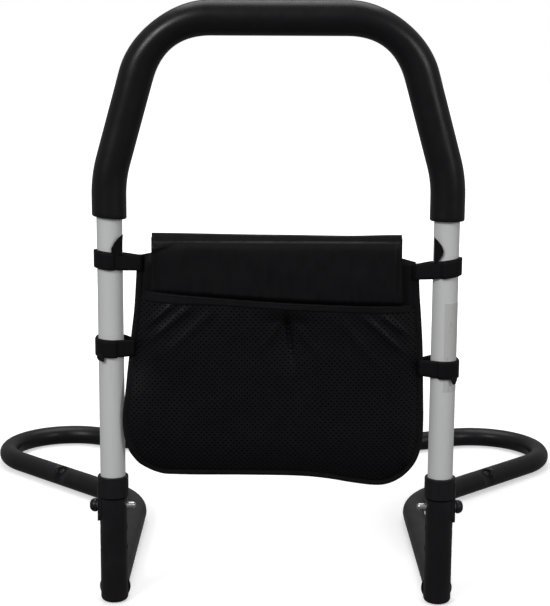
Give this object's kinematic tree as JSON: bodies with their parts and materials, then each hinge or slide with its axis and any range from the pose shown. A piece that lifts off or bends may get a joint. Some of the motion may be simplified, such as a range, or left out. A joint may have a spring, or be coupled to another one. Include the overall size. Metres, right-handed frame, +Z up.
{
  "type": "bed assist rail",
  "caption": "Hoop-shaped bed rail handle with foam grip and cloth pouch, sliding into two pinned legs on a flat looped floor frame.",
  "frame": {"origin": "on the floor at the middle of the whole object's box", "axes": "+X to the right of someone facing the rail, +Y from the legs to the rear bar, +Z up"},
  "size_m": [0.7528, 0.6328, 0.607],
  "materials": {
    "black_enamel": "satin black powder coat",
    "grey_enamel": "satin light grey paint",
    "black_plastic": "moulded, slightly shiny",
    "knob_plastic": "glossy moulded",
    "pin_steel": "bright plated",
    "button_steel": "dark zinc plated",
    "grip_foam": "matte closed-cell foam",
    "strap_webbing": "hook-and-loop webbing",
    "pouch_fabric": "woven polyester",
    "binding_tape": "ribbed binding tape",
    "pocket_mesh": "knitted hexagonal mesh",
    "label_film": "white film, blank"
  },
  "bodies": {
    "floor_frame": {"leg_tube_left": "black_enamel", "leg_cap_left": "black_plastic", "collar_left": "black_plastic", "neck_tube_left": "black_enamel", "weld_bead_left": "black_enamel", "snap_spring_left": "button_steel", "leg_tube_right": "black_enamel", "leg_cap_right": "black_plastic", "collar_right": "black_plastic", "neck_tube_right": "black_enamel", "weld_bead_right": "black_enamel", "snap_spring_right": "button_steel", "rear_loop_tube": "black_enamel"},
    "hoop": {"hoop_tube": "grey_enamel", "foam_grip": "grip_foam", "upright_plug_left": "black_plastic", "upright_plug_right": "black_plastic", "blank_label": "label_film", "pouch_back_panel": "pouch_fabric", "pouch_binding": "binding_tape", "pouch_flap": "pouch_fabric", "mesh_pocket": "pocket_mesh", "mesh_hem": "binding_tape", "strap_upper_left": "strap_webbing", "strap_upper_right": "strap_webbing", "strap_lower_left": "strap_webbing", "strap_lower_right": "strap_webbing"},
    "lock_pin_left": {"pin_shank_left": "pin_steel", "pin_head_left": "knob_plastic"},
    "snap_button_left": {"snap_button_left": "button_steel"},
    "lock_pin_right": {"pin_shank_right": "pin_steel", "pin_head_right": "knob_plastic"},
    "snap_button_right": {"snap_button_right": "button_steel"}
  },
  "joints": [
    {"name": "hoop_height", "type": "slide", "parent": "floor_frame", "child": "hoop", "axis": [0, 0, 1], "range_m": [0, 0.066]},
    {"name": "lock_pin_left_pull", "type": "slide", "parent": "floor_frame", "child": "lock_pin_left", "axis": [-1, 0, 0], "range_m": [0, 0.045]},
    {"name": "lock_pin_right_pull", "type": "slide", "parent": "floor_frame", "child": "lock_pin_right", "axis": [1, 0, 0], "range_m": [0, 0.045]},
    {"name": "snap_button_left_press", "type": "slide", "parent": "floor_frame", "child": "snap_button_left", "axis": [0.402, 0.4091, -0.8192], "range_m": [0, 0.004], "stiffness_N_per_m": 900, "springref_m": -0.004, "deforming": ["snap_spring_left"]},
    {"name": "snap_button_right_press", "type": "slide", "parent": "floor_frame", "child": "snap_button_right", "axis": [-0.402, 0.4091, -0.8192], "range_m": [0, 0.004], "stiffness_N_per_m": 900, "springref_m": -0.004, "deforming": ["snap_spring_right"]}
  ]
}
